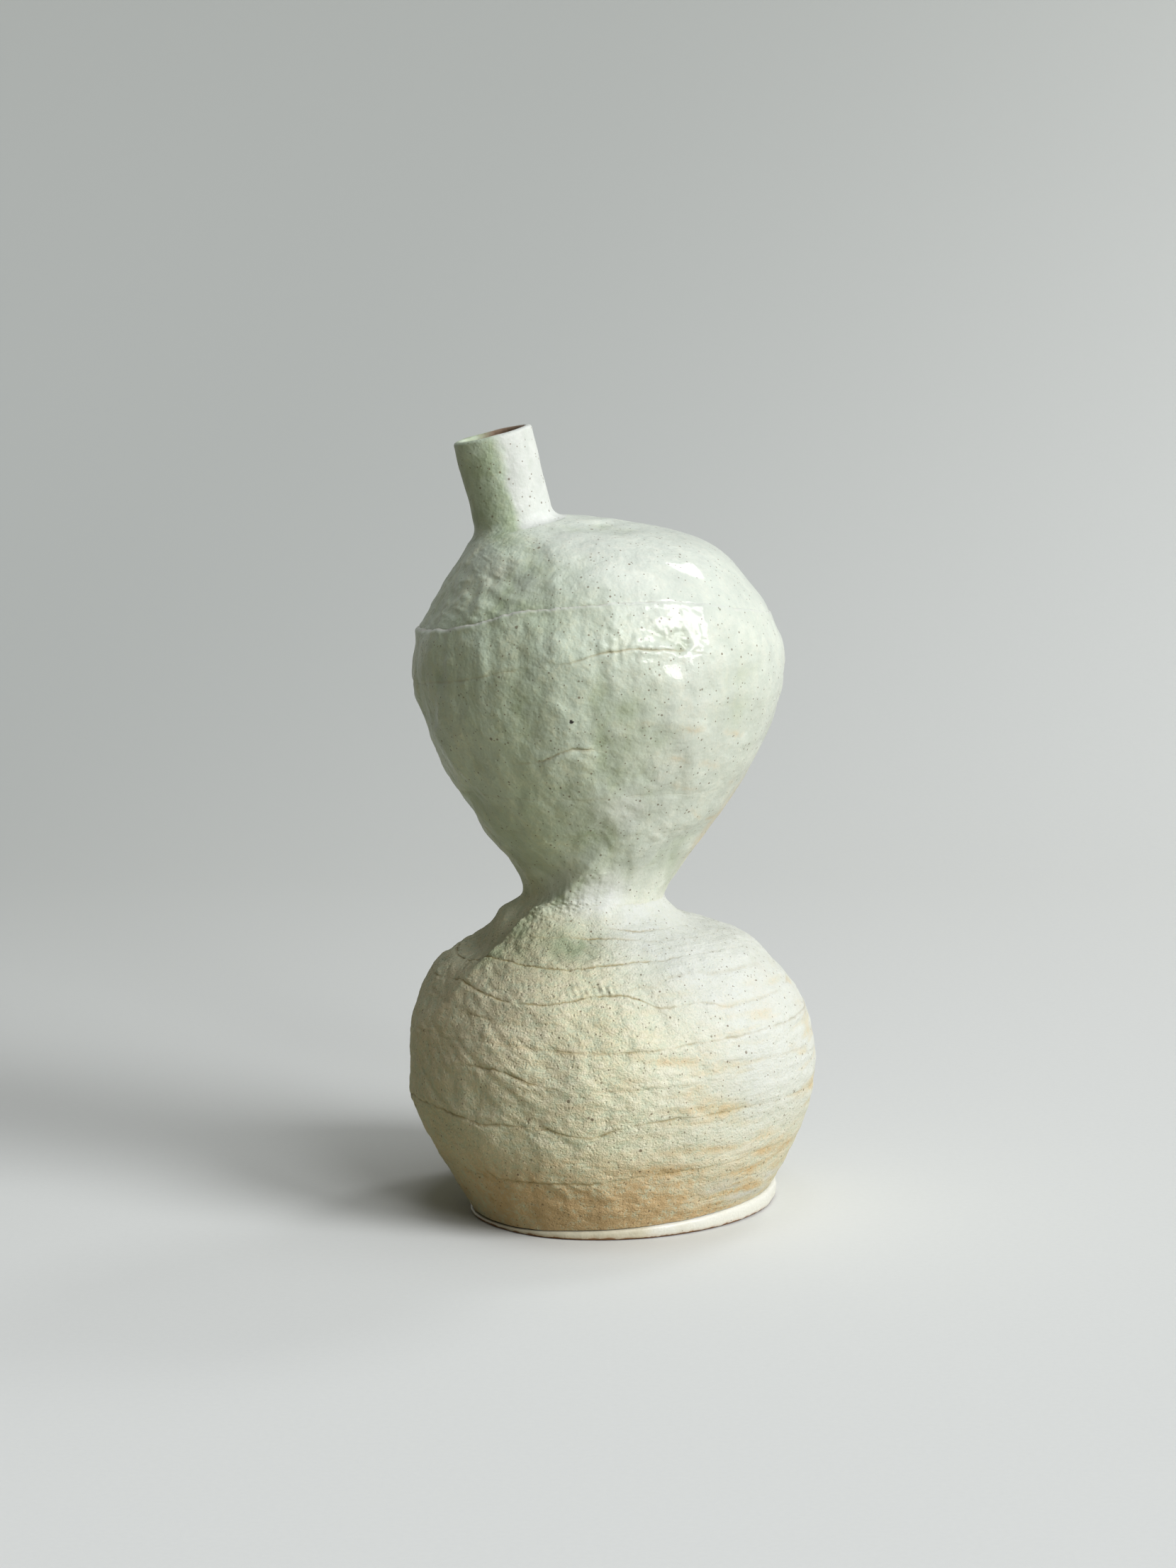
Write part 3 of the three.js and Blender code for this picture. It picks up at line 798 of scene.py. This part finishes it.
crown_steps = np.linspace(0, 1, 240)
crown_curves = bezier(
    [part[None] for part in crown_line(column_angle)], np.repeat(crown_steps[:, None], COLUMNS, 1))
crown_lengths = lengths(crown_curves)
crown_top = outline_length + crown_lengths[-1]
crown_along = np.arange(table_along[-1] + TABLE_STEP, crown_top.max() + 3 * TABLE_STEP, TABLE_STEP)
crown_table = np.empty((len(crown_along), COLUMNS, 3))
for column in range(COLUMNS):
    for axis in range(3):
        crown_table[:, column, axis] = np.interp(
            crown_along - outline_length, crown_lengths[:, column], crown_curves[:, column, axis])
    past = crown_along - crown_top[column]
    slope = crown_curves[-1, column] - crown_curves[-3, column]
    crown_table[past > 0, column] += past[past > 0][:, None] * slope / np.linalg.norm(slope)
wall = np.concatenate([wall, crown_table])
wall_out = facing_out(wall)
UPPER_PUSHES = [
    (298, 178, 1.6, 5, 38), (303, 6, -2.8, 12, 34), (324, 6, -3.2, 14, 34), (240, -70, -0.8, 12, 10),
    (262, -88, 0.6, 12, 12), (225, -60, 0.6, 10, 14), (216, -92, -0.7, 8, 9), (205, -76, 0.6, 7, 8),
    (274, -83, -0.7, 8, 8), (261, -73, -0.6, 7, 7), (247, -87, -0.7, 11, 5), (240, -110, 0.5, 14, 9),
    (285, -120, 0.5, 10, 8)]
FLUTES = 33
# Where the glaze is rippled and catches the light in broken patches, given as a push is
RIPPLES = [
    (303, -80, 1.2, 10, 14), (305, -60, 1.2, 13, 14), (289, -82, 0.8, 6, 9), (240, -79, 0.9, 9, 10),
    (219, -81, 1, 6, 8)]
# Where it lies pale over the crown, partly painted light on the crown's left; where it is toasted; and where
# it ran together green, partly painted shade for the spout's shadow on the crown and the spout's unlit side
CROWN_WHITE = [(336, -108, 0.35, 16, 24)]
RIGHT_TOAST = [(210, -14, 0.6, 24, 12)]
FRONT_TOAST = [(266, -78, 0.08, 30, 30)]
POOLS_AND_SHADE = [
    (273, -114, 0.4, 10, 7), (274, -82, 0.7, 7, 9), (261, -73, 0.6, 7, 8), (247, -86, 0.8, 13, 5),
    (209, -92, 0.9, 9, 12), (228, -96, 0.5, 14, 10), (324, -119, 0.4, 8, 10), (341, -99, 0.3, 8, 8),
    (370, -101, 0.4, 10, 14), (402, -106, 0.8, 26, 13), (400, -150, 0.7, 24, 30)]


def fluted(along, angle, shoulder):
    """Soft upright presses of the fingers below the shoulder seam, on the left and front."""
    degrees = degrees_round(angle)
    where = held((-84 - degrees) / 30) + held((degrees - 120) / 30) * 0.8
    reach = hump(shoulder - along - 13, 20)
    uneven = ringed(angle, UPPER_RADIUS, along * 0.25)
    drift = lumpy(uneven, 24, 51) * 3.4
    strength = held(0.28 + 0.5 * lumpy(uneven, 17, 52))
    return np.cos(angle * FLUTES + drift) * strength * reach * where


def rippled(along, angle, point):
    curdled = 0.4 - np.abs(lumpy(point, 4.4, 53)) * 1.3
    return pushed(along, angle, RIPPLES) * (curdled * 0.5 + lumpy(point, 3, 54) * 0.3)


# Faint tan veins on the right of the upper bulb: degrees round and distance up the clay
VEINS = [
    [(-88, 268), (-72, 267), (-58, 263), (-34, 257)], [(-78, 256), (-60, 248), (-42, 243)], [(-64, 236),
    (-48, 231), (-24, 233)], [(-52, 222), (-38, 214), (-20, 212)]]


def veined(along, angle, point):
    degrees = degrees_round(angle)
    total = np.zeros_like(along)
    for places in VEINS:
        ends = held(np.minimum(degrees - places[0][0], places[-1][0] - degrees) / 6)
        away = along - eased(places, degrees, 2) - lumpy(point, 7, 63) * 1.2
        total = np.maximum(total, ends * hump(away, 1.3, 1.5))
    return total * held(0.4 + lumpy(point, 9, 64))


def upper_marks(along, angle, point, relief, line):
    """How much straw, pooled green and white glaze lie on each point above the waist: painted shade in part on
    the unlit left, painted light in part on the lit right.
    """
    cloud = lumpy(point * (1, 1, 0.5), 34, 61) * 0.6 + lumpy(point * (1, 1, 0.5), 13, 62) * 0.4
    # The shade mask paints olive toast and green onto the unlit left: painted shade.
    shade = held(0.5 - np.cos(angle + 0.3))
    toast_and_shade = (pushed(along, angle, RIGHT_TOAST) * held(0.5 + 1.2 * cloud) + held(cloud - 0.1) * 0.3 * shade
             + pushed(along, angle, FRONT_TOAST) * held(0.25 + cloud) + veined(along, angle, point) * 0.38)
    pool_and_shade = held(-relief - 0.3) * 0.5 + pushed(along, angle, POOLS_AND_SHADE) + held(0.3 - cloud) * 0.5 * shade
    # Paler towards the lit right: painted light over the real pale celadon.
    thick_and_lit = held(0.5 + (70 - np.abs(degrees_round(angle, -16))) / 45) * 0.56
    thick_and_lit = np.maximum(thick_and_lit, pushed(along, angle, WAIST_WHITE + CROWN_WHITE))
    return {"toast_and_shade": held(toast_and_shade), "pool_and_shade": held(pool_and_shade), "line": line, "thick_and_lit": thick_and_lit}


for coil in range(LOWER_COILS, SHOULDER):
    name = f"upper_coil_{coil - LOWER_COILS + 1}"
    mesh, along, column, inside, point, out, roll, line = laid_coil(name + "_glazed", coil, UPPER_ROWS)
    angle = column_angle[column]
    shoulder = seams[SHOULDER][column]
    lumps = bulb_lumps(point, along) + fluted(along, angle, shoulder) + rippled(along, angle, point)
    push = pushed(along, angle, LOWER_PUSHES + UPPER_PUSHES)
    pinch, crest = pinched(along, angle, point)
    shape = walled_shape(point, out, inside, push, push + lumps + pinch + roll)
    marks = upper_marks(along, angle, point, lumps, line)
    marks["pool_and_shade"] = held(marks["pool_and_shade"] + crest * 0.7)
    if coil == SHOULDER - 1:
        edge = round_the_vase(SEAM_STEP[SHOULDER], angle) * hump(shoulder - along, 1)
        marks["thick_and_lit"] = held(marks["thick_and_lit"] + edge * 1.2)
    marks["bare"] = (inside > 0.5) * 1.0
    finished(mesh, shape, marks, glaze, name)


# Crown: the slab of clay that closes the upper bulb, bent over the shoulder and luted in the lap of the
# last coil. It is flat on the right, and dented by fingertips where it falls away under the spout.
FILLET = 5.0
CROWN_ROWS = 84
CROWN_PUSHES = [(352, 4, 1.0, 16, 30), (335, 178, -1.0, 10, 30)]
# Rows of finger dents: distance up the clay, first and last angle, spacing in degrees, and depth
DENT_ROWS = [(335, -168, -104, 12, 1.1), (323, -172, -112, 10, 1.1), (312, -176, -134, 9, 0.7)]
# Middle of the crown's left side in degrees, and of its flat right side: distance up the clay, degrees
# round, and their spreads
CROWN_LEFT = -142
FLAT_MIDDLE, FLAT_TURN, FLAT_TALL, FLAT_WIDE = 345, -20, 40, 62


def dented(along, angle):
    """Rows of soft fingertip dents on the left of the crown, with level flecks of clay between them."""
    total = 0
    rng = np.random.default_rng(71)
    for at, first, last, spacing, depth in DENT_ROWS:
        for turn in np.arange(first, last, spacing):
            off = degrees_round(angle, turn + rng.uniform(-2, 2))
            rise = along - at - rng.uniform(-2, 2)
            deep = depth * rng.uniform(0.4, 1.1)
            total = total - deep * np.exp(-(off / spacing / 0.42) ** 2 - (rise / 4.2) ** 2)
    level = ringed(angle, 22, along)
    flecks = held(lumpy(level, 3.6, 72) - 0.1)
    return total * 0.8 + flecks * 0.65 * facing(angle, CROWN_LEFT, 40)


mesh, share, column, inside = walled(
    "crown_glazed", np.linspace(0, 1, CROWN_ROWS) ** 1.12, (1, 0.86, 0.7, 0.5, 0.25, 0))
angle = column_angle[column]
shoulder = seams[SHOULDER][column]
bottom = shoulder + LAP * inside
along = bottom + (crown_top[column] - FILLET * (1 - inside) - bottom) * share
point, out = on_wall(along, column)
roll, line = seam_edge(SHOULDER, along - shoulder, column, point, below=False)
flat = hump(along - FLAT_MIDDLE, FLAT_TALL, 4) * facing(angle, FLAT_TURN, FLAT_WIDE)
lumps = bulb_lumps(point, along) * (1 - 0.88 * flat) + dented(along, angle) + rippled(along, angle, point)
root_fade = held((crown_top[column] - FILLET - along) / 14)
push = pushed(along, angle, UPPER_PUSHES + CROWN_PUSHES) * root_fade
shape = walled_shape(point, out, inside, push, push + lumps * root_fade + roll)
marks = upper_marks(along, angle, point, lumps, line)
# Green just above the shoulder ridge on the left: glaze lying in the seam's lap, with painted shade where the
# slope above it is dark.
lap_pool_and_shade = hump(along - shoulder - 2.5, 3.2) * facing(angle, CROWN_LEFT, 42)
marks["pool_and_shade"] = held(marks["pool_and_shade"] + lap_pool_and_shade * held(0.4 + 1.1 * lumpy(point, 9, 73)))
marks["bare"] = (inside > 0.5) * 1.0
finished(mesh, shape, marks, glaze, "crown")


# Spout: a short tube rolled round a stick and luted on the crown with a smoothed fillet, leaning to one
# side. Its lip is thin and wiped, and the bore inside is stained brown.
SPOUT_LENGTH = 41.5
SPOUT_BORE = 13.5
LIP = 1.4
FILLET_ROWS = 14
TUBE_ROWS = 46
# Rows of its section: distance up the tube, or share of the fillet, and radius
fillet_rows = [(share, 0.0) for share in np.linspace(0, 1, FILLET_ROWS)]
tube_rows = [(along, SPOUT_RADIUS) for along in np.linspace(FILLET, SPOUT_LENGTH - LIP, TUBE_ROWS)[1:]]
lip_middle = (SPOUT_RADIUS + SPOUT_BORE) / 2
lip_half = (SPOUT_RADIUS - SPOUT_BORE) / 2
lip_rows = [(SPOUT_LENGTH - LIP + LIP * math.sin(turn), lip_middle + lip_half * math.cos(turn))
            for turn in np.linspace(0, math.pi, 13)[1:]]
bore_rows = [(along, SPOUT_BORE) for along in np.linspace(SPOUT_LENGTH - LIP, 0.0, 16)[1:]]
spout_rows = fillet_rows + tube_rows + lip_rows + bore_rows
# The section is spun as an even ring first, and each row is then put in its place
RING_RADIUS, RING_SECTION = 100, 20
row_turn = 2 * math.pi / len(spout_rows)
mesh = spun("spout_glazed", [
    (RING_RADIUS + RING_SECTION * math.cos(row_turn * row), RING_SECTION * math.sin(row_turn * row))
    for row in range(len(spout_rows))])
radius, height, column = spun_places(mesh)
row = np.rint(np.arctan2(height, radius - RING_RADIUS) / row_turn).astype(int) % len(spout_rows)
angle = column_angle[column]
along, reach = np.array(spout_rows)[row].T
on_fillet = row < FILLET_ROWS
in_bore = row >= FILLET_ROWS + len(tube_rows) + len(lip_rows)
share = np.where(on_fillet, along, 0)[:, None]
edge_point = on_wall(crown_top[column] - FILLET, column)[0]
corner = spout_point(SPOUT_RADIUS, 0.0, angle)
foot_of_tube = spout_point(SPOUT_RADIUS, FILLET, angle)
fillet = (1 - share) ** 2 * edge_point + 2 * share * (1 - share) * corner + share ** 2 * foot_of_tube
tube = spout_point(np.where(on_fillet, SPOUT_RADIUS, reach), np.where(on_fillet, FILLET, along), angle)
shape = np.where(on_fillet[:, None], fillet, tube)
away = spout_point(SPOUT_RADIUS + 1.0, 0.0, angle) - spout_point(SPOUT_RADIUS, 0.0, angle)
lumps = lumpy(shape, 26, 81) * 0.6 + lumpy(shape, 10, 82) * 0.34 + lumpy(shape, 4.5, 84) * 0.06
rise = np.where(on_fillet, share[:, 0] * 0.3, np.clip(along / 12, 0.3, 1))
shape = shape + away * (lumps * rise * np.where(in_bore, 0.4, 1))[:, None]
lip_wave = lumpy(ringed(angle, 20, 0), 11, 83) * 0.2
axis = np.array([-math.sin(SPOUT_LEAN), 0.0, math.cos(SPOUT_LEAN)])
shape = shape + axis * (lip_wave * held((along - 30) / 10) * ~on_fillet)[:, None]
marks = upper_marks(crown_top[column] + along * ~on_fillet, angle, shape, lumps, 0 * along)
mottled = lumpy(shape, 9, 85) * 0.5 + lumpy(shape, 4, 86) * 0.25
# White on the spout's lit right and green on its unlit left: painted light and painted shade over real mottled
# glaze.
marks["thick_and_lit"] = held((97 - np.abs(degrees_round(angle, 6))) / 16 + mottled) * 0.85
marks["pool_and_shade"] = held(0.75 + mottled - marks["thick_and_lit"] * 1.2)
brown = held((95 - np.abs(degrees_round(angle, 30))) / 35)
deep = held(brown + (SPOUT_LENGTH - LIP - 1 - along) / 7)
wiped = np.clip((lip_middle - 0.3 - reach) / 0.9, 0, 0.85) * brown
marks["bare"] = np.where(on_fillet, 0, np.where(in_bore, deep, wiped))
finished(mesh, shape, marks, glaze, "spout")


# Studio: a sweep of pale paper with painted shade that darkens it to the far left, soft light from a far
# window on the right and a skylight, a little more from a near and a back window, and a long lens a little
# above the shoulder.
PAPER = tone(212, 215, 215)
PAPER_LIGHT = tone(217, 220, 220)
PAPER_PAINTED_SHADE = tone(168, 172, 171)
BOUNCE_LEFT = tone(133, 128, 98)
BOUNCE_RIGHT = tone(212, 209, 190)
ROOM = tone(204, 207, 207)
ROOM_LIGHT = (1.0, 0.95, 0.72, 1.0)
SWEEP_HALF_WIDTH = 12.0
SWEEP_HALF_DEPTH = 6.0
SWEEP_BACK = 0.8
SWEEP_CURVE = 1.3
VASE_MIDDLE = 0.17
CAMERA_PLACE = (-0.0144, -1.937, 0.503)
CAMERA_PITCH = 9.2


def seen_directly(start):
    """1 for what the lens or a reflection sees, 0 for light on its way to the vase."""
    camera, glossy, clear = (
        start.node("LightPath", output=ray)
        for ray in ("Is Camera Ray", "Is Glossy Ray", "Is Transmission Ray"))
    return start.math("MAXIMUM", start.math("MAXIMUM", camera, glossy), clear)


def paper_finish():
    material, shader, place = new_finish("pale_paper")
    across, depth = place.part(0), place.part(1)
    colour = place.noise(0.4, 4.0, 0.5).blended(PAPER, PAPER_LIGHT)
    # Painted shade: the paper darkens towards the back and the left near the vase, where the window's light
    # falls off.
    near = 1 - (0 - across).between(520, 1500)
    colour = colour.mixed((depth - across * 1.3).between(-250, 2000) * near, PAPER_PAINTED_SHADE)
    bounce = across.between(-350, 350).blended(BOUNCE_LEFT, BOUNCE_RIGHT)
    bounce.mixed(seen_directly(place), colour).into(shader, "Base Color")
    shader.inputs["Roughness"].default_value = 0.9
    return material


bm = bmesh.new()
bmesh.ops.create_grid(bm, x_segments=1, y_segments=1, size=1.0)
bmesh.ops.scale(bm, vec=(SWEEP_HALF_WIDTH, SWEEP_HALF_DEPTH, 1.0), verts=bm.verts)
bmesh.ops.translate(bm, vec=(0.0, SWEEP_BACK - SWEEP_HALF_DEPTH, 0.0), verts=bm.verts)
back = [edge for edge in bm.edges if all(vert.co.y > SWEEP_BACK - 0.1 for vert in edge.verts)]
bmesh.ops.spin(bm, geom=back, cent=(0, SWEEP_BACK, SWEEP_CURVE), axis=(1, 0, 0), dvec=(0, 0, 0),
               angle=math.radians(88), steps=24)
sweep_mesh = meshed(bm, "paper_sweep")
sweep_mesh.shade_smooth()
sweep_mesh.materials.append(paper_finish())
sweep = placed("paper_sweep", sweep_mesh)


def soft_lamp(name, azimuth, elevation, distance, width, tall, power):
    """A soft window near the vase, turned to it, in degrees, metres and watts."""
    lamp = bpy.data.lights.new(name, "AREA")
    lamp.shape = "RECTANGLE"
    lamp.size, lamp.size_y = width, tall
    lamp.energy = power
    turn, lift = math.radians(azimuth), math.radians(elevation)
    holder = placed(name, lamp)
    reach = distance * math.cos(lift)
    holder.location = (reach * math.cos(turn), reach * math.sin(turn), VASE_MIDDLE + distance * math.sin(lift))
    holder.rotation_euler = (0.0, math.radians(90) - lift, turn)


def far_light(name, azimuth, elevation, wide, strength):
    """A wide soft light from far away, in degrees and watts for a square metre."""
    light = bpy.data.lights.new(name, "SUN")
    light.energy = strength
    light.angle = math.radians(wide)
    placed(name, light).rotation_euler = (0.0, math.radians(90 - elevation), math.radians(azimuth))


far_light("far_window", azimuth=-33, elevation=27, wide=30, strength=2.78)
far_light("skylight", azimuth=-20, elevation=80, wide=40, strength=0.88)
soft_lamp("near_window", azimuth=-66, elevation=30, distance=2.6, width=1.5, tall=0.7, power=17.0)
soft_lamp("back_window", azimuth=48, elevation=48, distance=2.6, width=0.5, tall=0.5, power=8.0)
world = bpy.data.worlds.new("pale_room")
world.use_nodes = True
room = Glaze(world.node_tree)
dim = room.node("Background", inputs={"Color": ROOM_LIGHT, "Strength": 0.03})
pale = room.node("Background", inputs={"Color": ROOM, "Strength": 1.0})
room_light = room.node("MixShader", inputs={0: seen_directly(room), 1: dim, 2: pale})
room_light.into(world.node_tree.nodes["World Output"], "Surface")
scene = bpy.context.scene
scene.world = world
scene.view_settings.view_transform = "Standard"
lens = bpy.data.cameras.new("long_lens")
lens.lens = 101.6
lens.sensor_width = 36.0
camera = placed("long_lens", lens)
camera.location = CAMERA_PLACE
camera.rotation_euler = (math.radians(90 - CAMERA_PITCH), 0.0, 0.0)
scene.camera = camera

bpy.context.view_layer.update()
